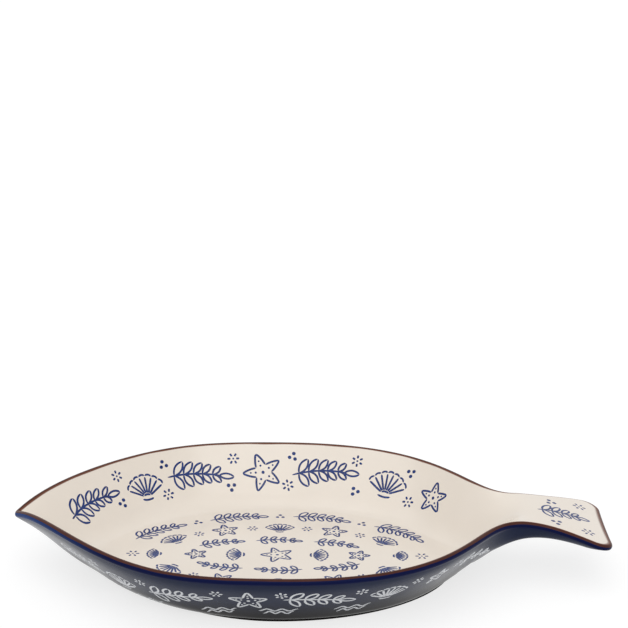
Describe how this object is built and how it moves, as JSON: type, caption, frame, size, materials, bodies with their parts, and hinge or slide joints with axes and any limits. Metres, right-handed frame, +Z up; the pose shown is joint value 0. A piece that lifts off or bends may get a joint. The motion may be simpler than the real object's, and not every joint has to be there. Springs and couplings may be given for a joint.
{
  "type": "fish shaped platter",
  "caption": "Fish-shaped stoneware serving platter: a shallow boat-like bowl with a pointed nose, a flared tail to lift it by, a low foot, cream inside and dark blue outside.",
  "frame": {"origin": "on the table, below the centre of the overall box", "axes": "+X from the nose to the tail, +Y across, +Z up"},
  "size_m": [0.39, 0.222, 0.0467],
  "materials": {
    "clay": "fired stoneware under glaze",
    "bare_clay": "bare fired stoneware, matt",
    "cream_glaze": "glossy cream glaze",
    "blue_glaze": "glossy dark blue glaze",
    "brown_band": "brown painted band under clear glaze"
  },
  "bodies": {
    "root": {"bowl": "clay", "tail_handle": "clay", "foot_ring": "bare_clay", "cream_glaze": "cream_glaze", "blue_glaze": "blue_glaze", "base_glaze": "blue_glaze", "rim_band": "brown_band"}
  },
  "joints": []
}
